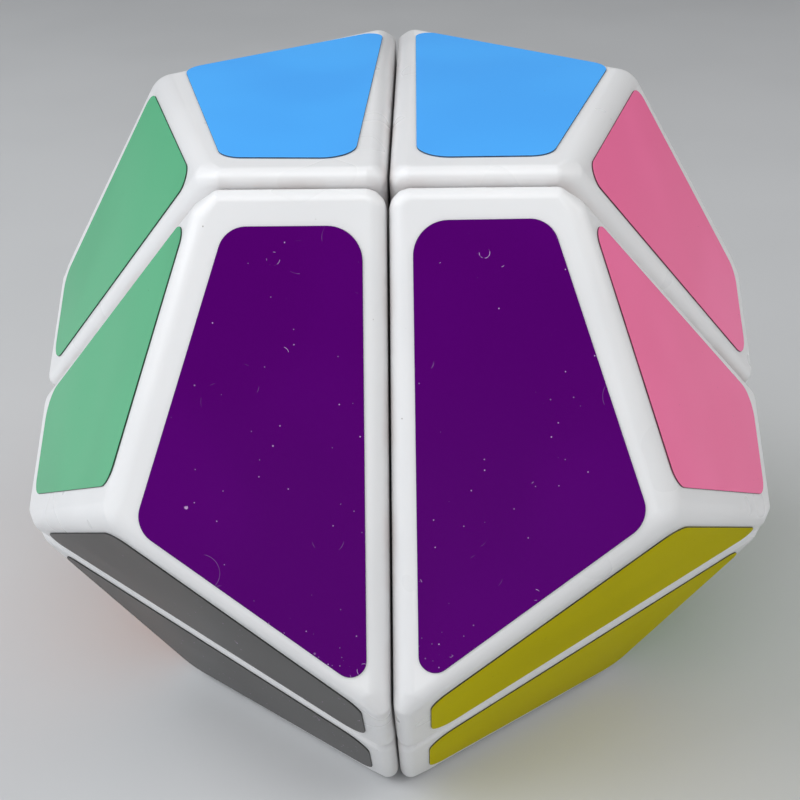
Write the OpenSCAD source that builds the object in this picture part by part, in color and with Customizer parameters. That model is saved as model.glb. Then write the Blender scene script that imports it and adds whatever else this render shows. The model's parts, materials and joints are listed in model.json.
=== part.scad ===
// Dodecahedron twisty puzzle with three mid-plane cuts: eight corner pieces turn on a
// hidden ball-shaped mechanism of feet, edges, caps, springs and screws round one core.
// It stands on the face opposite its top face, with the centre of the ball above the origin.
// Inside stand(), X is the left-right turning axis, Y the upper-back one and Z the
// upper-front one. A sign triple such as [-1, -1, 1] picks one of the eight corners.

/* [Body] */
// Distance between two opposite plastic faces
across_flats = 66; // [62:1:70]
// Rounding radius of a shell's edges where a cut runs along an edge of the solid
round_sharp = 1.1; // [0.8:0.05:1.4]
// Rounding radius of a shell's other edges beside a cut
round_cut = 1.95; // [1.4:0.05:2.1]
// Radius of a face's outline where two cuts meet
round_corner = 1.8; // [1.5:0.05:2.3]
// Rounding radius of a shell's corner away from the cuts
round_tip = 2.8; // [2:0.1:3.2]
// Gap between neighbouring corner shells
turn_gap = 0.2; // [0.2:0.05:0.4]
// Wall thickness of a corner shell
wall = 1.8; // [1.5:0.1:2.2]

/* [Stickers] */
// Thickness of the vinyl
sticker_t = 0.15; // [0.1:0.05:0.3]
// Border between a sticker and the cut that halves its face
border_cut = 1.95; // [1.6:0.05:2.6]
// Border at the face edge that the cut halves
border_half = 3.65; // [3:0.05:4.2]
// Border at the full edge next to the halved edge
border_far = 2.6; // [2:0.1:3.2]
// Border at the full edge that ends on the cut
border_near = 1.3; // [1:0.1:2]
// Corner radii: at the halved edge, its far end, the outer corner, the tip on the cut
sticker_round = [2.9, 2.4, 2.5, 1.4]; // [0.6:0.1:3.2]

/* [Stickers stuck on a little out of place] */
// Off the cut in mm, off the halved edge in mm, and turned in degrees
place_purple_left = [0, 0.4, 0]; // [-3:0.05:3]
place_purple_right = [0.1, 0.05, -0.4]; // [-3:0.05:3]
place_blue_left = [0.15, -0.1, 2.2]; // [-3:0.05:3]
place_blue_right = [0.2, 0, 0.4]; // [-3:0.05:3]
place_green_lower = [-0.25, 0.2, 0]; // [-3:0.05:3]
place_grey_upper = [0, -0.5, 0]; // [-3:0.05:3]
place_grey_lower = [0, -0.45, 0]; // [-3:0.05:3]
place_yellow_upper = [0, 0.2, 0]; // [-3:0.05:3]

/* [Mechanism] */
// Radius of the ball that the shells slide on
ball_r = 19; // [18.5:0.1:19.5]
// Radius between the caps' layer and the feet's layer
mid_r = 14.5; // [14.3:0.1:14.7]
// Radius inside the feet
inner_r = 10; // [9.9:0.05:10.1]
// Half width of a cap
cap_half = 6; // [5.8:0.1:6.2]
// Half width of a cap's stem
stem_half = 3.5; // [3.4:0.05:3.6]
// Running clearance between two inner pieces
clearance = 0.2; // [0.15:0.05:0.3]
// Shank diameter of a screw
screw_d = 2.2; // [2:0.1:2.4]
// Head diameter of a screw
head_d = 4.6; // [4.4:0.1:4.8]
// Turns in a spring
spring_turns = 4; // [3:1:5]

/* [Hidden] */
white = "#f1f2f4";
purple = "#4f0266";
blue = "#4aa5ff";
green = "#69b58b";
pink = "#e0709a";
grey = "#6f716e";
yellow = "#98901d";
orange = "#f08a24";
red = "#c8202c";
navy = "#1f3f9c";
lime = "#8fd13f";
cream = "#efe3b4";
black = "#3a3d42";
ivory = "#e9e6dc";
charcoal = "#3a3d42";
steel = "#b4b8bd";
phi = (1 + sqrt(5)) / 2;
tilt = atan(1 / phi);
norm_len = sqrt(1 + phi * phi);
face_r = across_flats / 2;
edge = 2 * face_r * sqrt(3 - phi) / (phi * phi);
apothem = edge / (2 * tan(36));
half_gap = turn_gap / 2;
slip = clearance / 2;
plate_r = ball_r + 2;
core_r = 8;
arm_r = stem_half - slip;
arm_top = 9.2;
key = 4.4;
key_top = 11.2;
key_slip = 0.05;
thread_bottom = 4.4;
spring_floor = 12.6;
head_floor = 16;
head_t = 1.6;
recess_t = 0.8;
recess_w = 0.6;
recess_l = 2.6;
bore_d = screw_d + 0.2;
pocket_d = head_d + 0.8;
wire_in = 1.6;
wire_out = 2.1;
wire_arc = 190;
seat_gap = 0.02;
turn_slices = 12;
// How far a stalk runs into the layer that it joins
weld = 1;
// Longer than anything in the puzzle
past_all = 60;
// Rounding where the cuts meet, deep inside the ball
round_inner = 0.5;
ball_fn = 96;
// Sides of the balls that round a shell
round_fn = 24;
hole_fn = 48;
face_normal = [0, 1, phi] / norm_len;
diagonal = [1, 1, 1] / sqrt(3);
across = unit(face_normal - (face_normal * diagonal) * diagonal);
third = cross(diagonal, across);
ball_axes = [for (i = [0:2]) [across[i], third[i], diagonal[i], 0]];
bottom_left = [-1, -1, -1];
bottom_right = [1, -1, -1];
front_left = [-1, -1, 1];
front_right = [1, -1, 1];
top_left = [-1, 1, 1];
top_right = [1, 1, 1];
back_left = [-1, 1, -1];
back_right = [1, 1, -1];

function unit(v) = v / norm(v);

// How far a many-sided unit ball, with its pole on the diagonal, reaches along n
function reach(n) = max([for (i = [1:round_fn / 2], j = [1:round_fn])
    let (p = (i - 0.5) * 360 / round_fn, a = j * 360 / round_fn)
        (sin(p) * cos(a) * across + sin(p) * sin(a) * third + cos(p) * diagonal) * n]);

// Where two lines with outward normals at angles a and b, at distances p and q, cross
function crossing(a, p, b, q) =
    [p * sin(b) - q * sin(a), q * cos(a) - p * cos(b)] / sin(b - a);

// Half a pentagon with a border on each side and its four corners rounded
half_angles = [-90, -18, 54, 180, 270];
half_reach = [apothem - border_half, apothem - border_far, apothem - border_near,
    -half_gap - border_cut, apothem - border_half];
function half_face() = [for (i = [0:3])
    let (a = half_angles[i], b = half_angles[i + 1], r = sticker_round[(i + 1) % 4],
        m = crossing(a, half_reach[i] - r, b, half_reach[i + 1] - r))
    for (t = [0:6]) m + r * [cos(a + (b - a) * t / 6), sin(a + (b - a) * t / 6)]];

// The ring sector that a spring's wire fills at one height
function wire_section() = concat(
    [for (t = [0:4]) wire_out * [cos(wire_arc * t / 4), sin(wire_arc * t / 4)]],
    [for (t = [4:-1:0]) wire_in * [cos(wire_arc * t / 4), sin(wire_arc * t / 4)]]);

module stand() {
    translate([0, 0, face_r + sticker_t]) rotate([tilt, 0, 0]) children();
}

module corner_at(s) {
    mirror([s[0] < 0 ? 1 : 0, 0, 0])
        mirror([0, s[1] < 0 ? 1 : 0, 0])
            mirror([0, 0, s[2] < 0 ? 1 : 0])
                children();
}

// Turns X into axis k, keeping the cyclic order
module about_diagonal(k) {
    rotate(a = 120 * k, v = [1, 1, 1]) children();
}

// Everything under the face plane k at distance d
module under_face(k, d) {
    about_diagonal(k) rotate([-tilt, 0, 0]) translate([-past_all, -past_all, d - 2 * past_all])
        cube(2 * past_all);
}

module ball_at(place, r) {
    translate(place) multmatrix(ball_axes) sphere(r = r, $fn = round_fn);
}

// Where a ball's centre lies: off the cuts, inside the faces, at a sharp edge and at its far end
function cut_inset(r) = half_gap + r * reach([-1, 0, 0]);
function face_inset(r) = (face_r - r * reach(face_normal)) * norm_len;
function sharp_z(r) = (face_inset(r) - cut_inset(r)) / phi;
function far_x(r) = (face_inset(round_cut) - sharp_z(r)) / phi;

// The ball that touches a cut, the face and the face's rounded outline at angle a round its corner
function corner_ball_r(a) = let (wedge = 1 / tan(45 - tilt / 2))
    ((wedge - 1) * round_sharp + (1 - sin(a)) * round_corner) / (wedge - sin(a));

// A ball that touches a cut and the face that meets it sharply, at x along their edge
module edge_ball(x, r) {
    ball_at([x, cut_inset(r), sharp_z(r)], r);
}

module rounded_eighth() {
    hull() {
        ball_at(cut_inset(round_inner) * [1, 1, 1], round_inner);
        ball_at(face_inset(round_tip) / (phi * phi) * [1, 1, 1], round_tip);
        for (k = [0:2]) about_diagonal(k) {
            for (a = [0:30:90]) let (r = corner_ball_r(a))
                edge_ball(half_gap + round_corner - (round_corner - r) * cos(a), r);
            edge_ball(far_x(round_sharp), round_sharp);
            edge_ball(far_x(round_cut), round_cut);
        }
    }
}

module hollow_eighth() {
    intersection() {
        translate((half_gap + wall) * [1, 1, 1]) cube(past_all);
        under_face(0, face_r - wall);
        under_face(1, face_r - wall);
        under_face(2, face_r - wall);
    }
}

module shell(s) {
    color(white) stand() corner_at(s) difference() {
        rounded_eighth();
        hollow_eighth();
        sphere(r = ball_r + slip, $fn = ball_fn);
    }
}

// The part of a hollow ball from radius a to radius b that lies inside the child
module between(a, b) {
    intersection() {
        children();
        difference() {
            sphere(r = b, $fn = ball_fn);
            sphere(r = a, $fn = ball_fn);
        }
    }
}

module foot(s) {
    color(ivory) stand() corner_at(s) {
        between(ball_r + slip, plate_r) translate((half_gap + wall) * [1, 1, 1]) cube(past_all);
        between(mid_r - weld, ball_r + weld) translate((cap_half + slip) * [1, 1, 1]) cube(past_all);
        between(inner_r + slip, mid_r - slip) translate((stem_half + slip) * [1, 1, 1]) cube(past_all);
    }
}

// A block past both cuts at distance c, with half thickness h across the third axis
module edge_block(c, h) {
    translate([c, c, -h]) cube([past_all, past_all, 2 * h]);
}

module inner_edge(k, s) {
    color(ivory) stand() corner_at(s) about_diagonal(k + 1) {
        between(mid_r + slip, ball_r - slip) edge_block(cap_half + slip, cap_half - slip);
        between(mid_r - weld, mid_r + weld) edge_block(cap_half + slip, stem_half - slip);
        between(inner_r + slip, mid_r - slip) edge_block(stem_half + slip, stem_half - slip);
    }
}

module square_column(h, low, high) {
    translate([-h, -h, low]) cube([2 * h, 2 * h, high - low]);
}

// A mushroom-shaped cap on its square stem, bored for the screw and its head
module cap(low, pocket_floor) {
    difference() {
        union() {
            between(mid_r + slip, ball_r - slip) square_column(cap_half - slip, low, past_all);
            intersection() {
                square_column(stem_half - slip, low, past_all);
                sphere(r = mid_r + weld, $fn = ball_fn);
            }
        }
        cylinder(h = past_all, d = bore_d, $fn = hole_fn);
        translate([0, 0, pocket_floor]) cylinder(h = past_all, d = pocket_d, $fn = hole_fn);
    }
}

module turning_cap(k) {
    color(ivory) stand() about_diagonal(k + 1) cap(arm_top + slip, spring_floor);
}

module keyed_caps() {
    color(ivory) stand() corner_at(bottom_left) for (k = [0:2]) about_diagonal(k) difference() {
        cap(arm_top, head_floor);
        square_column(key / 2 + key_slip, 0, key_top + slip);
    }
}

module core() {
    color(charcoal) stand() difference() {
        union() {
            sphere(r = core_r, $fn = ball_fn);
            for (k = [0:2]) about_diagonal(k) {
                translate([0, 0, -arm_top]) cylinder(h = 2 * arm_top, r = arm_r, $fn = hole_fn);
                square_column(key / 2, -key_top, -arm_top + weld);
            }
        }
        for (k = [0:2], m = [0, 1]) about_diagonal(k) mirror([0, 0, m])
            translate([0, 0, thread_bottom]) cylinder(h = past_all, d = screw_d, $fn = hole_fn);
    }
}

module screw() {
    difference() {
        union() {
            translate([0, 0, thread_bottom])
                cylinder(h = head_floor - thread_bottom + head_t / 4, d = screw_d, $fn = hole_fn);
            translate([0, 0, head_floor]) cylinder(h = head_t, d = head_d, $fn = hole_fn);
        }
        for (a = [0, 90]) rotate([0, 0, a])
            translate([-recess_l / 2, -recess_w / 2, head_floor + head_t - recess_t])
                cube([recess_l, recess_w, head_t]);
    }
}

module screws() {
    color(steel) stand() for (k = [0:2], m = [0, 1]) about_diagonal(k) mirror([0, 0, m]) screw();
}

module springs() {
    color(steel) stand() for (k = [0:2]) about_diagonal(k)
        translate([0, 0, spring_floor + seat_gap])
            linear_extrude(height = head_floor - spring_floor - 2 * seat_gap,
                twist = -360 * spring_turns, slices = turn_slices * spring_turns)
                    polygon(wire_section());
}

module sticker(s, k, place = [0, 0, 0]) {
    stand() corner_at(s) about_diagonal(k) rotate([-tilt, 0, 0])
        translate([place[0], place[1], face_r]) rotate([0, 0, place[2]])
            linear_extrude(height = sticker_t) polygon(half_face());
}

module shell_front_left() { shell(front_left); }
module shell_front_right() { shell(front_right); }
module shell_top_left() { shell(top_left); }
module shell_top_right() { shell(top_right); }
module shell_bottom_left() { shell(bottom_left); }
module shell_bottom_right() { shell(bottom_right); }
module shell_back_left() { shell(back_left); }
module shell_back_right() { shell(back_right); }
module foot_front_left() { foot(front_left); }
module foot_front_right() { foot(front_right); }
module foot_top_left() { foot(top_left); }
module foot_top_right() { foot(top_right); }
module foot_bottom_left() { foot(bottom_left); }
module foot_bottom_right() { foot(bottom_right); }
module foot_back_left() { foot(back_left); }
module foot_back_right() { foot(back_right); }
module purple_sticker_left() { color(purple) sticker(front_left, 0, place_purple_left); }
module purple_sticker_right() { color(purple) sticker(front_right, 0, place_purple_right); }
module blue_sticker_left() { color(blue) sticker(top_left, 0, place_blue_left); }
module blue_sticker_right() { color(blue) sticker(top_right, 0, place_blue_right); }
module green_sticker_lower() { color(green) sticker(front_left, 1, place_green_lower); }
module green_sticker_upper() { color(green) sticker(top_left, 1); }
module pink_sticker_lower() { color(pink) sticker(front_right, 1); }
module pink_sticker_upper() { color(pink) sticker(top_right, 1); }
module grey_sticker_upper() { color(grey) sticker(front_left, 2, place_grey_upper); }
module grey_sticker_lower() { color(grey) sticker(bottom_left, 2, place_grey_lower); }
module yellow_sticker_upper() { color(yellow) sticker(front_right, 2, place_yellow_upper); }
module yellow_sticker_lower() { color(yellow) sticker(bottom_right, 2); }
module navy_sticker_left() { color(navy) sticker(bottom_left, 0); }
module navy_sticker_right() { color(navy) sticker(bottom_right, 0); }
module red_sticker_left() { color(red) sticker(back_left, 0); }
module red_sticker_right() { color(red) sticker(back_right, 0); }
module orange_sticker_lower() { color(orange) sticker(bottom_left, 1); }
module orange_sticker_upper() { color(orange) sticker(back_left, 1); }
module lime_sticker_lower() { color(lime) sticker(bottom_right, 1); }
module lime_sticker_upper() { color(lime) sticker(back_right, 1); }
module cream_sticker_lower() { color(cream) sticker(back_left, 2); }
module cream_sticker_upper() { color(cream) sticker(top_left, 2); }
module black_sticker_lower() { color(black) sticker(back_right, 2); }
module black_sticker_upper() { color(black) sticker(top_right, 2); }
module inner_edge_front() { inner_edge(0, front_right); }
module inner_edge_top() { inner_edge(0, top_right); }
module inner_edge_bottom() { inner_edge(0, bottom_right); }
module inner_edge_back() { inner_edge(0, back_right); }
module inner_edge_front_top_left() { inner_edge(1, top_left); }
module inner_edge_front_top_right() { inner_edge(1, top_right); }
module inner_edge_bottom_back_left() { inner_edge(1, back_left); }
module inner_edge_bottom_back_right() { inner_edge(1, back_right); }
module inner_edge_bottom_front_left() { inner_edge(2, front_left); }
module inner_edge_bottom_front_right() { inner_edge(2, front_right); }
module inner_edge_back_top_left() { inner_edge(2, top_left); }
module inner_edge_back_top_right() { inner_edge(2, top_right); }
module cap_right() { turning_cap(0); }
module cap_upper_back() { turning_cap(1); }
module cap_upper_front() { turning_cap(2); }

shell_front_left();
shell_front_right();
shell_top_left();
shell_top_right();
shell_bottom_left();
shell_bottom_right();
shell_back_left();
shell_back_right();
foot_front_left();
foot_front_right();
foot_top_left();
foot_top_right();
foot_bottom_left();
foot_bottom_right();
foot_back_left();
foot_back_right();
purple_sticker_left();
purple_sticker_right();
blue_sticker_left();
blue_sticker_right();
green_sticker_lower();
green_sticker_upper();
pink_sticker_lower();
pink_sticker_upper();
grey_sticker_upper();
grey_sticker_lower();
yellow_sticker_upper();
yellow_sticker_lower();
navy_sticker_left();
navy_sticker_right();
red_sticker_left();
red_sticker_right();
orange_sticker_lower();
orange_sticker_upper();
lime_sticker_lower();
lime_sticker_upper();
cream_sticker_lower();
cream_sticker_upper();
black_sticker_lower();
black_sticker_upper();
inner_edge_front();
inner_edge_top();
inner_edge_bottom();
inner_edge_back();
inner_edge_front_top_left();
inner_edge_front_top_right();
inner_edge_bottom_back_left();
inner_edge_bottom_back_right();
inner_edge_bottom_front_left();
inner_edge_bottom_front_right();
inner_edge_back_top_left();
inner_edge_back_top_right();
cap_right();
cap_upper_front();
cap_upper_back();
keyed_caps();
core();
screws();
springs();
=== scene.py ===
"""Looks of the dodecahedron twisty puzzle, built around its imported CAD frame.

Everything is in metres. The eight corner shells and the 24 stickers are built again here with smooth
edges, in the octant where all three coordinates are positive, and mirrored to their corners. In that
octant X, Y and Z are the three turning axes and the cuts lie on the coordinate planes.
"""
import itertools
import json
import math

import bmesh
import bpy
from mathutils import Matrix, Vector


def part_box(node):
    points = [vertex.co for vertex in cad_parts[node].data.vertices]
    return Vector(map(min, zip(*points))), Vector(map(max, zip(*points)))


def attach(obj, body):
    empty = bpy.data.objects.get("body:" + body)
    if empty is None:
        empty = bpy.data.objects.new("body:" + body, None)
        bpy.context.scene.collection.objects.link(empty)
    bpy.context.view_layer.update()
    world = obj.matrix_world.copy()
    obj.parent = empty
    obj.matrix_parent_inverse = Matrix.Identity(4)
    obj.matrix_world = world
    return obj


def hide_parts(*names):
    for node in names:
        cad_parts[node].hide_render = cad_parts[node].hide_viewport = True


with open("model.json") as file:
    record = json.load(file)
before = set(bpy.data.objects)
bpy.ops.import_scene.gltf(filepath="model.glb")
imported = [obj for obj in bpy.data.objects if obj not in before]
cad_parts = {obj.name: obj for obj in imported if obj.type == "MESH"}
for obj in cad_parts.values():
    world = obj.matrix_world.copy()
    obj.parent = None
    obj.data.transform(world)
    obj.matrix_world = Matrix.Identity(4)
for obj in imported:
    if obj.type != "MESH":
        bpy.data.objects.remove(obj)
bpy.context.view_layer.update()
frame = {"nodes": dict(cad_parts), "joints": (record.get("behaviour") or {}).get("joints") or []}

# --- Sizes ------------------------------------------------------------------------------------------
MM = 0.001
PHI = (1 + math.sqrt(5)) / 2
NORM = math.sqrt(1 + PHI * PHI)
TILT = math.atan(1 / PHI)
WEDGE = 1 / math.tan(math.pi / 4 - TILT / 2)

shell_low, shell_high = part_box("shell_top_right")
sticker_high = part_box("blue_sticker_right")[1]
CENTRE = Vector(frame["joints"][0]["pos_m"])
HALF_GAP = shell_low.x
FACE_R = shell_high.z - CENTRE.z
STICKER_T = sticker_high.z - shell_high.z
EDGE = 2 * FACE_R * math.sqrt(3 - PHI) / PHI**2
APOTHEM = EDGE / (2 * math.tan(math.radians(36)))

# Rounding radii of a shell: where a cut runs along an edge of the solid, at the other edges beside the
# cuts, of a face's outline where two cuts meet, at the corner away from the cuts, and deep inside
ROUND_SHARP = 1.1 * MM
ROUND_CUT = 1.95 * MM
ROUND_CORNER = 1.8 * MM
ROUND_TIP = 2.8 * MM
ROUND_INNER = 0.5 * MM
CORNER_ANGLES = (0, 30, 60, 90)
WALL = 1.8 * MM
BALL_R = 19.1 * MM

# A sticker: the bevel of its rim, its borders off the face's sides and off the cut, the radius of the
# corner before each of its four sides, and the directions in degrees in which those sides look
STICKER_BEVEL = 0.05 * MM
STICKER_BORDERS = [3.65 * MM, 2.6 * MM, 1.3 * MM]
STICKER_CUT_BORDER = 1.95 * MM
STICKER_ROUND = [2.9 * MM, 2.4 * MM, 2.5 * MM, 1.4 * MM]
STICKER_ANGLES = [-90, -18, 54, 180]

# Fineness of the curved surfaces
ROUND_STEPS = 12
ARC_STEPS = 14

# Distances within which a plane touches a ball, a point lies on a ball and two points are one, the
# cosine above which two directions agree, and the angles above which an edge is sharp
TOUCH = 0.0002 * MM
ON_BALL = 5 * TOUCH
WELD = 0.0005 * MM
SAME_WAY = 0.9
SHELL_SHARP = math.radians(28)
MECHANISM_SHARP = math.radians(30)

# The view: degrees round, up and rolled, distance in edge lengths, then lens in mm and frame shift
VIEW_ANGLES = (1.55, 31.16, -1.14)
VIEW_DISTANCE = 4.64
LENS = 57.24
SHIFT = (0.0022, -0.0086)

STAND = Matrix.Translation(CENTRE) @ Matrix.Rotation(TILT, 4, "X")

# Signs of the three octant axes for each corner, named as its CAD body
CORNERS = {
    "front_left": (-1, -1, 1),
    "front_right": (1, -1, 1),
    "top_left": (-1, 1, 1),
    "top_right": (1, 1, 1),
    "bottom_left": (-1, -1, -1),
    "bottom_right": (1, -1, -1),
    "back_left": (-1, 1, -1),
    "back_right": (1, 1, -1),
}

# Each face's two stickers: colour, then (half, corner) pairs, then the face's number in the octant
FACES = [
    ("purple", ("left", "front_left"), ("right", "front_right"), 0),
    ("blue", ("left", "top_left"), ("right", "top_right"), 0),
    ("navy", ("left", "bottom_left"), ("right", "bottom_right"), 0),
    ("red", ("left", "back_left"), ("right", "back_right"), 0),
    ("green", ("lower", "front_left"), ("upper", "top_left"), 1),
    ("pink", ("lower", "front_right"), ("upper", "top_right"), 1),
    ("orange", ("lower", "bottom_left"), ("upper", "back_left"), 1),
    ("lime", ("lower", "bottom_right"), ("upper", "back_right"), 1),
    ("grey", ("lower", "bottom_left"), ("upper", "front_left"), 2),
    ("yellow", ("lower", "bottom_right"), ("upper", "front_right"), 2),
    ("cream", ("lower", "back_left"), ("upper", "top_left"), 2),
    ("black", ("lower", "back_right"), ("upper", "top_right"), 2),
]

# Stickers stuck on a little out of place, as in the CAD: off the cut and off the halved edge in mm,
# and turned in degrees
PLACED = {
    "purple_left": (0, 0.4, 0),
    "purple_right": (0.1, 0.05, -0.4),
    "blue_left": (0.15, -0.1, 2.2),
    "blue_right": (0.2, 0, 0.4),
    "green_lower": (-0.25, 0.2, 0),
    "grey_upper": (0, -0.5, 0),
    "grey_lower": (0, -0.45, 0),
    "yellow_upper": (0, 0.2, 0),
}

# Base colours, linear
VINYL = {
    "purple": (0.085, 0.0003, 0.15),
    "blue": (0.08, 0.42, 1.0),
    "green": (0.092, 0.43, 0.215),
    "pink": (1.0, 0.185, 0.40),
    "grey": (0.11, 0.107, 0.106),
    "yellow": (0.52, 0.455, 0.001),
    "orange": (0.83, 0.23, 0.016),
    "red": (0.52, 0.018, 0.024),
    "navy": (0.014, 0.045, 0.3),
    "lime": (0.27, 0.6, 0.045),
    "cream": (0.82, 0.73, 0.43),
    "black": (0.02, 0.021, 0.024),
}

# How dusty each of the dark vinyls is; the others show a few dark nicks instead
DUST = {"purple": 1.0, "navy": 0.8, "red": 0.5, "black": 0.6, "grey": 0.12}

# The vinyls that have lost most of their gloss
DULL_IOR = {"yellow": 1.02, "grey": 1.06, "purple": 1.1}


# --- Node helpers -----------------------------------------------------------------------------------
def add_node(tree, kind, inputs=None, **settings):
    """A new node with its settings, and its inputs either set or linked by name or number."""
    made = tree.nodes.new(kind)
    for name, value in settings.items():
        setattr(made, name, value)
    for name, value in (inputs or {}).items():
        if isinstance(value, bpy.types.NodeSocket):
            tree.links.new(value, made.inputs[name])
        else:
            made.inputs[name].default_value = value
    return made


def new_material(name):
    """A material with one Principled shader, and its node tree."""
    material = bpy.data.materials.new(name)
    material.use_nodes = True
    tree = material.node_tree
    return material, tree, tree.nodes["Principled BSDF"]


def maths(tree, operation, a, b=0.0):
    return add_node(tree, "ShaderNodeMath", {0: a, 1: b}, operation=operation).outputs[0]


def noise(tree, place, size, detail=3.0, roughness=0.5):
    """Noise from 0 to 1 whose blobs are about size across."""
    inputs = {"Vector": place, "Scale": 1 / size, "Detail": detail, "Roughness": roughness}
    return add_node(tree, "ShaderNodeTexNoise", inputs).outputs[0]


def ramp(tree, value, low, high, to_low=0.0, to_high=1.0):
    """Value carried smoothly from low..high to to_low..to_high, and held outside."""
    inputs = {"Value": value, "From Min": low, "From Max": high, "To Min": to_low, "To Max": to_high}
    made = add_node(tree, "ShaderNodeMapRange", inputs, interpolation_type="SMOOTHSTEP")
    return made.outputs[0]


def mix_colour(tree, share, a, b):
    made = add_node(tree, "ShaderNodeMix", {0: share}, data_type="RGBA")
    for number, colour in ((6, a), (7, b)):
        if isinstance(colour, bpy.types.NodeSocket):
            tree.links.new(colour, made.inputs[number])
        else:
            made.inputs[number].default_value = (*colour, 1)
    return made.outputs[2]


def bump(tree, height, strength, distance):
    inputs = {"Height": height, "Strength": strength, "Distance": distance}
    return add_node(tree, "ShaderNodeBump", inputs).outputs[0]


def object_place(tree):
    return add_node(tree, "ShaderNodeTexCoord").outputs["Object"]


def octant_place(tree):
    """The point's coordinates along the three turning axes, from the ball's centre."""
    place = object_place(tree)
    moved = add_node(tree, "ShaderNodeVectorMath", {0: place, 1: CENTRE}, operation="SUBTRACT")
    inputs = {"Vector": moved.outputs[0], "Axis": (1, 0, 0), "Angle": -TILT}
    return add_node(tree, "ShaderNodeVectorRotate", inputs).outputs[0]


def scaled(colour, factor):
    return tuple(min(1.0, c * factor) for c in colour)


# --- Materials --------------------------------------------------------------------------------------
def marks(tree, place, cell, size, share):
    """Small round specks of uneven strength: one in each cell, and only in that share of the cells."""
    cells = add_node(tree, "ShaderNodeTexVoronoi", {"Vector": place, "Scale": 1 / cell})
    near = ramp(tree, cells.outputs["Distance"], 0.5 * size / cell, size / cell, 1.0, 0.0)
    draws = add_node(tree, "ShaderNodeSeparateColor", {0: cells.outputs["Color"]}).outputs
    strength = ramp(tree, draws[1], 0.0, 1.0, 0.35, 1.0)
    return maths(tree, "MULTIPLY", maths(tree, "MULTIPLY", near, strength),
                 maths(tree, "LESS_THAN", draws[0], share))


def fine_arcs(tree, place, cell, width, share):
    """Short hair-thin curved scratches: bits of circles round scattered points."""
    cells = add_node(tree, "ShaderNodeTexVoronoi", {"Vector": place, "Scale": 1 / cell})
    off = maths(tree, "ABSOLUTE", maths(tree, "SUBTRACT", cells.outputs["Distance"], 0.34))
    line = ramp(tree, off, 0.0, width / cell, 1.0, 0.0)
    draws = add_node(tree, "ShaderNodeSeparateColor", {0: cells.outputs["Color"]}).outputs
    kept = maths(tree, "LESS_THAN", draws[1], share)
    part = ramp(tree, noise(tree, place, cell * 0.4, 1.0), 0.58, 0.66)
    return maths(tree, "MULTIPLY", maths(tree, "MULTIPLY", line, kept), part)


def white_plastic():
    """Moulded white ABS: glossy and clean, darkened next to the cuts by a trace of grime and by painted
    shade in the gaps, and with a few dots.
    """
    material, tree, shader = new_material("white_plastic")
    place = object_place(tree)
    axes = add_node(tree, "ShaderNodeSeparateXYZ", {0: octant_place(tree)}).outputs
    to_cut = maths(tree, "ABSOLUTE", axes[0])
    for axis in (axes[1], axes[2]):
        to_cut = maths(tree, "MINIMUM", to_cut, maths(tree, "ABSOLUTE", axis))
    cloud = noise(tree, place, 12 * MM, 1.0)
    base = mix_colour(tree, ramp(tree, cloud, 0.35, 0.65), (0.785, 0.79, 0.80), (0.81, 0.814, 0.823))
    # Darkening next to the cuts: partly grime, partly painted shade where the gaps between the pieces
    # fall into shadow.
    grime_and_shade_near_cut = ramp(tree, to_cut, 0.1 * MM, 0.9 * MM, 1.0, 0.0)
    patchy = ramp(tree, noise(tree, place, 5 * MM, 2.0), 0.4, 0.7, 0.08, 0.3)
    base = mix_colour(tree, maths(tree, "MULTIPLY", grime_and_shade_near_cut, patchy), base, (0.50, 0.38, 0.34))
    dots = marks(tree, place, 2.2 * MM, 0.09 * MM, 0.5)
    base = mix_colour(tree, maths(tree, "MULTIPLY", dots, 0.6), base, (0.16, 0.12, 0.09))
    tree.links.new(base, shader.inputs["Base Color"])
    worn = ramp(tree, noise(tree, place, 8 * MM, 1.0), 0.3, 0.7, 0.27, 0.33)
    tree.links.new(worn, shader.inputs["Roughness"])
    tree.links.new(bump(tree, noise(tree, place, 4 * MM, 0.0), 0.02, 0.02 * MM), shader.inputs["Normal"])
    shader.inputs["Subsurface Weight"].default_value = 0.12
    shader.inputs["Subsurface Radius"].default_value = (1.0, 0.9, 0.85)
    shader.inputs["Subsurface Scale"].default_value = 0.8 * MM
    shader.inputs["IOR"].default_value = 1.53
    shader.inputs["Specular IOR Level"].default_value = 0.3
    return material


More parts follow.
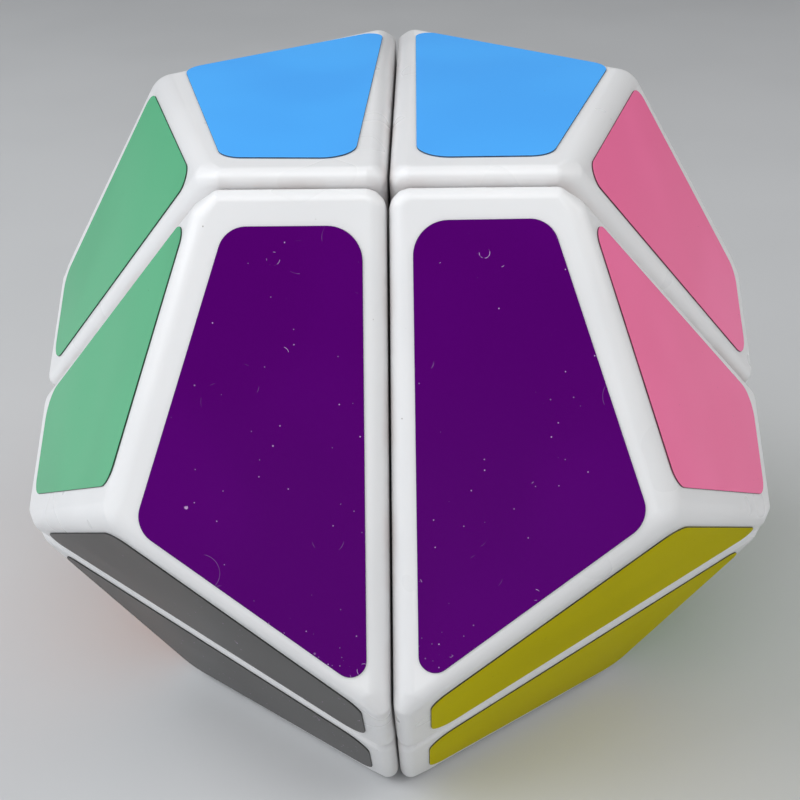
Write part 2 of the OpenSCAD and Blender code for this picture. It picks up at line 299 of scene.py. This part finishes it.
def vinyl(name, colour):
    """Smooth glossy self-adhesive vinyl: soft colour drift, and dust, fibres and scratches or nicks."""
    material, tree, shader = new_material("vinyl_" + name)
    place = object_place(tree)
    drift = ramp(tree, noise(tree, place, 16 * MM, 1.0), 0.35, 0.65)
    base = mix_colour(tree, drift, scaled(colour, 0.96), scaled(colour, 1.04))
    dust = DUST.get(name, 0.15)
    dirt_colour = (0.60, 0.40, 0.68) if name in DUST else scaled(colour, 0.45)
    height = add_node(tree, "ShaderNodeSeparateXYZ", {0: place}).outputs[2]
    low_down = ramp(tree, height, 25 * MM, 36 * MM, 2.0, 0.25)
    clouds = ramp(tree, noise(tree, place, 6 * MM, 2.0), 0.42, 0.62, 0.2, 1.0)
    density = maths(tree, "MULTIPLY", maths(tree, "MULTIPLY", low_down, clouds), dust)
    specks = marks(tree, place, 0.6 * MM, 0.075 * MM, density)
    fluff = marks(tree, place, 1.6 * MM, 0.12 * MM, maths(tree, "MULTIPLY", density, 0.5))
    few = maths(tree, "MULTIPLY", density, 0.35)
    fibres = fine_arcs(tree, place, 1.7 * MM, 0.035 * MM, few)
    arcs = maths(tree, "MULTIPLY", fine_arcs(tree, place, 5 * MM, 0.035 * MM, 0.4), 0.25 * dust)
    lines = maths(tree, "MAXIMUM", fibres, arcs)
    dirt = maths(tree, "MAXIMUM", maths(tree, "MAXIMUM", specks, fluff), lines)
    base = mix_colour(tree, maths(tree, "MULTIPLY", dirt, 0.85), base, dirt_colour)
    tree.links.new(base, shader.inputs["Base Color"])
    hazy = ramp(tree, noise(tree, place, 10 * MM, 1.0), 0.3, 0.7, 0.22, 0.27)
    tree.links.new(maths(tree, "MAXIMUM", hazy, maths(tree, "MULTIPLY", lines, 0.6)),
                   shader.inputs["Roughness"])
    shader.inputs["IOR"].default_value = DULL_IOR.get(name, 1.2)
    return material


def painted_shade_vinyl_side(name, colour):
    """The cut edge of a sticker: the same vinyl, dull, and painted far darker as painted shade, standing
    in for the shadow along the sticker's rim.
    """
    material, tree, shader = new_material("painted_shade_vinyl_side_" + name)
    place = object_place(tree)
    share = ramp(tree, noise(tree, place, 1.2 * MM, 3.0), 0.3, 0.7)
    # Painted shade: the side takes the vinyl's colour at a sixth to a sixteenth of its brightness.
    base = mix_colour(tree, share, scaled(colour, 0.06), scaled(colour, 0.16))
    tree.links.new(base, shader.inputs["Base Color"])
    shader.inputs["Roughness"].default_value = 0.6
    return material


def moulded_plastic(name, colour, rough):
    """Unpolished moulded plastic of the inner pieces, rubbed where it slides."""
    material, tree, shader = new_material(name)
    place = object_place(tree)
    drift = ramp(tree, noise(tree, place, 5 * MM, 3.0), 0.35, 0.65)
    base = mix_colour(tree, drift, scaled(colour, 0.9), scaled(colour, 1.05))
    rubbed = ramp(tree, noise(tree, place, 2.5 * MM, 4.0, 0.6), 0.5, 0.7)
    base = mix_colour(tree, maths(tree, "MULTIPLY", rubbed, 0.25), base, scaled(colour, 0.62))
    tree.links.new(base, shader.inputs["Base Color"])
    tree.links.new(maths(tree, "SUBTRACT", rough, maths(tree, "MULTIPLY", rubbed, 0.15)),
                   shader.inputs["Roughness"])
    grain = noise(tree, place, 0.25 * MM, 3.0)
    tree.links.new(bump(tree, grain, 0.25, 0.02 * MM), shader.inputs["Normal"])
    return material


def plated_steel(name, colour, rough):
    """Zinc-plated or drawn steel with fine streaks."""
    material, tree, shader = new_material(name)
    place = object_place(tree)
    streaks = noise(tree, place, 0.3 * MM, 4.0, 0.7)
    base = mix_colour(tree, streaks, scaled(colour, 0.75), scaled(colour, 1.15))
    tree.links.new(base, shader.inputs["Base Color"])
    tree.links.new(ramp(tree, streaks, 0.3, 0.7, rough - 0.08, rough + 0.1), shader.inputs["Roughness"])
    tree.links.new(bump(tree, streaks, 0.2, 0.01 * MM), shader.inputs["Normal"])
    shader.inputs["Metallic"].default_value = 1.0
    return material


# --- The corner shells ------------------------------------------------------------------------------
# A shell is a box-like cell of eight corners: three faces on the cuts and three on the dodecahedron
CELL_NORMALS = [
    Vector((-1, 0, 0)),
    Vector((0, -1, 0)),
    Vector((0, 0, -1)),
    Vector((0, 1, PHI)) / NORM,
    Vector((PHI, 0, 1)) / NORM,
    Vector((1, PHI, 0)) / NORM,
]
CELL_RINGS = [(0, 2, 5, 3), (0, 3, 6, 1), (0, 1, 4, 2), (3, 6, 7, 5), (1, 4, 7, 6), (2, 5, 7, 4)]


def cell_corners(cut, face):
    """The cell's corners with the cuts at distance cut from the centre and the faces at distance face."""
    across = face * NORM
    far = (across - cut) / PHI
    side = (across - far) / PHI
    tip = across / PHI**2
    return [Vector(c) for c in (
        (cut, cut, cut), (far, cut, cut), (cut, far, cut), (cut, cut, far),
        (far, side, cut), (cut, far, side), (side, cut, far), (tip, tip, tip))]


def turned(a, b, share):
    """The direction that share of the way round from a to b."""
    angle = a.angle(b)
    return (a * math.sin((1 - share) * angle) + b * math.sin(share * angle)) / math.sin(angle)


def rounding_balls():
    """The balls whose hull is the shell: small where a cut runs along an edge of the solid, larger at
    the other edges beside the cuts, and largest at the corner away from the cuts."""
    def edge_z(radius):
        return ((FACE_R - radius) * NORM - HALF_GAP - radius) / PHI

    def cell(radius):
        return cell_corners(HALF_GAP + radius, FACE_R - radius)

    def far_x(radius):
        return ((FACE_R - ROUND_CUT) * NORM - edge_z(radius)) / PHI

    def corner_spot(angle):
        """The ball that touches a cut, the face and the face's rounded outline at this angle."""
        radius = (WEDGE - 1) * ROUND_SHARP + (1 - math.sin(angle)) * ROUND_CORNER
        radius /= WEDGE - math.sin(angle)
        return HALF_GAP + ROUND_CORNER - (ROUND_CORNER - radius) * math.cos(angle), radius

    balls = [(cell(ROUND_INNER)[0], ROUND_INNER), (cell(ROUND_TIP)[7], ROUND_TIP)]
    spots = [corner_spot(math.radians(angle)) for angle in CORNER_ANGLES]
    spots += [(far_x(ROUND_SHARP), ROUND_SHARP), (far_x(ROUND_CUT), ROUND_CUT)]
    for x, radius in spots:
        y, z = HALF_GAP + radius, edge_z(radius)
        balls += [(Vector(place), radius) for place in ((x, y, z), (z, x, y), (y, z, x))]
    return balls


def directions():
    """Directions all round, with rows along the arcs between the cell's neighbouring normals."""
    spread = []
    for i in range(8):
        a, b, c = (CELL_NORMALS[k] for k in range(6) if i in CELL_RINGS[k])
        spread.append(a)
        for m in range(1, ROUND_STEPS + 1):
            left = turned(a, b, m / ROUND_STEPS)
            right = turned(a, c, m / ROUND_STEPS)
            spread += [turned(left, right, n / m) for n in range(m + 1)]
    return spread


def rounded_cell(balls):
    """The hull of the balls, from the points where planes from all directions would touch it."""
    bm = bmesh.new()
    for direction in directions():
        reaches = [centre.dot(direction) + radius for centre, radius in balls]
        for (centre, radius), reach in zip(balls, reaches):
            if max(reaches) - reach < TOUCH:
                bm.verts.new(centre + radius * direction)
    bmesh.ops.remove_doubles(bm, verts=bm.verts, dist=WELD)
    hull = bmesh.ops.convex_hull(bm, input=bm.verts)
    bmesh.ops.delete(bm, geom=list({*hull["geom_interior"], *hull["geom_unused"]}), context="VERTS")
    return finished(bm, "rounded_cell")


def finished(bm, name):
    """The welded, outward-facing mesh of a bmesh."""
    bmesh.ops.remove_doubles(bm, verts=bm.verts, dist=WELD)
    bmesh.ops.recalc_face_normals(bm, faces=bm.faces)
    mesh = bpy.data.meshes.new(name)
    bm.to_mesh(mesh)
    bm.free()
    return mesh


def cavity_cell():
    """The hollow inside a shell's walls."""
    bm = bmesh.new()
    corners = cell_corners(HALF_GAP + WALL, FACE_R - WALL)
    for ring in CELL_RINGS:
        bm.faces.new([bm.verts.new(corners[i]) for i in ring])
    return finished(bm, "cavity")


def ball():
    """The sphere on which the shells slide."""
    bm = bmesh.new()
    bmesh.ops.create_uvsphere(bm, u_segments=96, v_segments=48, radius=BALL_R)
    return finished(bm, "ball")


def show(name, mesh):
    made = bpy.data.objects.new(name, mesh)
    bpy.context.scene.collection.objects.link(made)
    return made


def shell_mesh(balls):
    """The hollow rounded shell of the all-positive corner."""
    body = show("shell_blank", rounded_cell(balls))
    cutters = [show("cavity_cutter", cavity_cell()), show("ball_cutter", ball())]
    for cutter in cutters:
        cutting = body.modifiers.new("cut", "BOOLEAN")
        cutting.operation = "DIFFERENCE"
        cutting.solver = "EXACT"
        cutting.object = cutter
    solid = body.evaluated_get(bpy.context.evaluated_depsgraph_get())
    mesh = bpy.data.meshes.new_from_object(solid)
    for used in (body, *cutters):
        bpy.data.objects.remove(used)
    return mesh


def at_corner(mesh, signs, name):
    """A copy of an octant mesh, mirrored to a corner and stood in its place."""
    placed = mesh.copy()
    placed.name = name
    placed.transform(STAND @ Matrix.Diagonal((*signs, 1)))
    if math.prod(signs) < 0:
        placed.flip_normals()
    placed.shade_smooth()
    placed.set_sharp_from_angle(angle=SHELL_SHARP)
    return placed


def true_normal(place, facing, balls):
    """The normal at a shell's point, on a face that looks along facing: off the ball that it lies on."""
    if abs(place.length - BALL_R) < ON_BALL and place.normalized().dot(facing) < -SAME_WAY:
        return -place.normalized()
    for centre, radius in balls:
        out = (place - centre) / radius
        if abs(out.length - 1) < ON_BALL / radius and out.dot(facing) > SAME_WAY:
            return out.normalized()
    return facing


def shade_truly(mesh, signs, balls):
    """Gives a placed shell the normals of the balls that its faces only come near."""
    stand = STAND @ Matrix.Diagonal((*signs, 1))
    back = stand.inverted()
    turn, turn_back = stand.to_3x3(), back.to_3x3()
    normals = [None] * len(mesh.loops)
    for face in mesh.polygons:
        facing = turn_back @ face.normal
        for loop in face.loop_indices:
            place = back @ mesh.vertices[mesh.loops[loop].vertex_index].co
            normals[loop] = turn @ true_normal(place, facing, balls)
    mesh.normals_split_custom_set(normals)


def body_at(corner):
    return "keyed_corner" if corner == "bottom_left" else corner + "_corner"


def build_shells(plastic):
    balls = rounding_balls()
    blank = shell_mesh(balls)
    for corner, signs in CORNERS.items():
        shell = show("corner_shell_" + corner, at_corner(blank, signs, "corner_shell_" + corner))
        shade_truly(shell.data, signs, balls)
        shell.data.materials.clear()
        shell.data.materials.append(plastic)
        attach(shell, body_at(corner))
        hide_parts("shell_" + corner)


# --- The stickers -----------------------------------------------------------------------------------
def crossing(angle_a, reach_a, angle_b, reach_b):
    """Where two lines meet, each given by its outward direction and its distance from the middle."""
    width = math.sin(angle_b - angle_a)
    return Vector((
        (reach_a * math.sin(angle_b) - reach_b * math.sin(angle_a)) / width,
        (reach_b * math.cos(angle_a) - reach_a * math.cos(angle_b)) / width,
        0))


def half_face(inset, height):
    """The outline of half a pentagon inside its borders, with rounded corners, drawn in by inset."""
    angles = [math.radians(a) for a in (*STICKER_ANGLES, STICKER_ANGLES[0] + 360)]
    reaches = [APOTHEM - border for border in STICKER_BORDERS]
    reaches += [-HALF_GAP - STICKER_CUT_BORDER, reaches[0]]
    outline = []
    for i in range(4):
        radius = STICKER_ROUND[(i + 1) % 4]
        middle = crossing(angles[i], reaches[i] - radius, angles[i + 1], reaches[i + 1] - radius)
        for t in range(ARC_STEPS + 1):
            angle = angles[i] + (angles[i + 1] - angles[i]) * t / ARC_STEPS
            out = Vector((math.cos(angle), math.sin(angle), 0))
            outline.append(middle + (radius - inset) * out + Vector((0, 0, height)))
    return outline


def sticker_mesh():
    """One sticker lying flat: a plate with its upper rim rounded over. Its wall has the second slot, for
    the side painted dark as painted shade.
    """
    bm = bmesh.new()
    levels = [(0.0, 0.0), (0.0, STICKER_T - STICKER_BEVEL)]
    levels += [(STICKER_BEVEL * (1 - math.cos(math.radians(a))),
                STICKER_T - STICKER_BEVEL * (1 - math.sin(math.radians(a)))) for a in (30, 60, 90)]
    rings = [[bm.verts.new(point) for point in half_face(inset, height)] for inset, height in levels]
    bm.faces.new(rings[0][::-1])
    bm.faces.new(rings[-1])
    for level, (low, high) in enumerate(itertools.pairwise(rings)):
        for i in range(len(low)):
            j = (i + 1) % len(low)
            wall = bm.faces.new((low[i], low[j], high[j], high[i]))
            # The lower wall takes the second slot, the side with painted shade.
            wall.material_index = 1 if level < 2 else 0
    return finished(bm, "sticker_blank")


def build_stickers():
    flat = sticker_mesh()
    for colour, *halves, face in FACES:
        top = vinyl(colour, VINYL[colour])
        # The side material: the vinyl painted dark, as painted shade along the sticker's rim.
        side = painted_shade_vinyl_side(colour, VINYL[colour])
        turn = Matrix.Rotation(math.radians(120) * face, 4, Vector((1, 1, 1)))
        tilt = Matrix.Rotation(-TILT, 4, "X")
        for half, corner in halves:
            across, along, turned_by = PLACED.get(colour + "_" + half, (0, 0, 0))
            lift = Matrix.Translation((across * MM, along * MM, FACE_R))
            blank = flat.copy()
            blank.transform(turn @ tilt @ lift @ Matrix.Rotation(math.radians(turned_by), 4, "Z"))
            name = colour + "_vinyl_" + half
            sticker = show(name, at_corner(blank, CORNERS[corner], name))
            sticker.data.materials.append(top)
            sticker.data.materials.append(side)
            even = sticker.modifiers.new("even_normals", "WEIGHTED_NORMAL")
            even.keep_sharp = True
            even.weight = 100
            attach(sticker, body_at(corner))
            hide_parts(colour + "_sticker_" + half)


# --- The mechanism ----------------------------------------------------------------------------------
def dress_mechanism():
    """Gives each carried-over CAD node its material, and smooth shading between its sharp edges."""
    ivory = moulded_plastic("ivory_plastic", (0.78, 0.75, 0.66), 0.5)
    charcoal = moulded_plastic("dark_nylon", (0.04, 0.043, 0.05), 0.55)
    zinc = plated_steel("zinc_plated_steel", (0.6, 0.62, 0.65), 0.3)
    wire = plated_steel("spring_wire", (0.5, 0.51, 0.53), 0.35)
    special = {"core": charcoal, "screws": zinc, "springs": wire}
    for name, node in frame["nodes"].items():
        if name.startswith("shell_") or "_sticker_" in name:
            continue
        node.data.materials.clear()
        node.data.materials.append(special.get(name, ivory))
        node.data.shade_smooth()
        node.data.set_sharp_from_angle(angle=MECHANISM_SHARP)


# --- Stage, light and camera ------------------------------------------------------------------------
def build_floor():
    """A plain pale floor whose rim curves up out of sight."""
    material, tree, shader = new_material("pale_floor")
    place = object_place(tree)
    cloud = ramp(tree, noise(tree, place, 60 * MM, 2.0), 0.3, 0.7)
    tree.links.new(mix_colour(tree, cloud, (0.58, 0.59, 0.60), (0.61, 0.62, 0.63)),
                   shader.inputs["Base Color"])
    shader.inputs["Roughness"].default_value = 0.7
    flat_r, rim_r, sides = 900 * MM, 500 * MM, 96
    profile = [(flat_r * s, 0.0) for s in (0.25, 0.5, 0.75, 1.0)]
    profile += [(flat_r + rim_r * math.sin(math.radians(a)), rim_r * (1 - math.cos(math.radians(a))))
                for a in range(10, 91, 10)]
    bm = bmesh.new()
    middle = bm.verts.new((0, 0, 0))
    rings = [[bm.verts.new((r * math.cos(math.tau * i / sides), r * math.sin(math.tau * i / sides), z))
              for i in range(sides)] for r, z in profile]
    for i in range(sides):
        j = (i + 1) % sides
        bm.faces.new((middle, rings[0][i], rings[0][j]))
        for low, high in itertools.pairwise(rings):
            bm.faces.new((low[i], high[i], high[j], low[j]))
    floor = show("floor", finished(bm, "floor"))
    floor.data.shade_smooth()
    floor.data.materials.append(material)


def area_light(name, azimuth, elevation, distance, size, strength, colour=(1, 1, 1)):
    """A square soft light that looks at the puzzle's centre. Azimuth 0 is the viewer's side.
    With strength 1, a white surface that faces it looks just white."""
    az, el = math.radians(azimuth), math.radians(elevation)
    back = Vector((math.sin(az) * math.cos(el), -math.cos(az) * math.cos(el), math.sin(el)))
    data = bpy.data.lights.new(name, "AREA")
    data.shape = "SQUARE"
    data.size = size
    data.energy = strength * (math.pi * distance) ** 2
    data.color = colour
    light = bpy.data.objects.new(name, data)
    bpy.context.scene.collection.objects.link(light)
    light.location = CENTRE + distance * back
    light.rotation_mode = "QUATERNION"
    light.rotation_quaternion = (-back).to_track_quat("-Z", "Y")


def light_studio():
    area_light("key", -78, 42, 0.6, 0.5, 0.78, (0.96, 0.975, 1.0))
    area_light("overhead", 0, 60, 0.6, 0.4, 0.43)
    area_light("front_fill", 0, 6, 0.7, 0.4, 0.12)
    area_light("right_fill", 80, 38, 0.6, 0.4, 0.33, (1.0, 0.985, 0.97))
    world = bpy.data.worlds.new("studio")
    world.use_nodes = True
    background = world.node_tree.nodes["Background"].inputs
    background["Color"].default_value = (0.92, 0.96, 1.0, 1)
    background["Strength"].default_value = 0.07
    bpy.context.scene.world = world
    bpy.context.scene.view_settings.view_transform = "Standard"


def aim_camera():
    azimuth, elevation, roll = (math.radians(a) for a in VIEW_ANGLES)
    distance = VIEW_DISTANCE * EDGE
    back = Vector((math.sin(azimuth) * math.cos(elevation),
                   -math.cos(azimuth) * math.cos(elevation),
                   math.sin(elevation)))
    right = Vector((0, 0, 1)).cross(back).normalized()
    up = back.cross(right)
    rolled_right = right * math.cos(roll) + up * math.sin(roll)
    rolled_up = up * math.cos(roll) - right * math.sin(roll)
    data = bpy.data.cameras.new("camera")
    data.lens = LENS
    data.sensor_width = 36
    data.shift_x, data.shift_y = SHIFT
    data.clip_start = 0.01
    data.clip_end = 20
    camera = bpy.data.objects.new("camera", data)
    bpy.context.scene.collection.objects.link(camera)
    turn = Matrix((rolled_right, rolled_up, back)).transposed()
    camera.matrix_world = Matrix.Translation(CENTRE + distance * back) @ turn.to_4x4()
    bpy.context.scene.camera = camera


aim_camera()
light_studio()
build_floor()
build_shells(white_plastic())
build_stickers()
dress_mechanism()
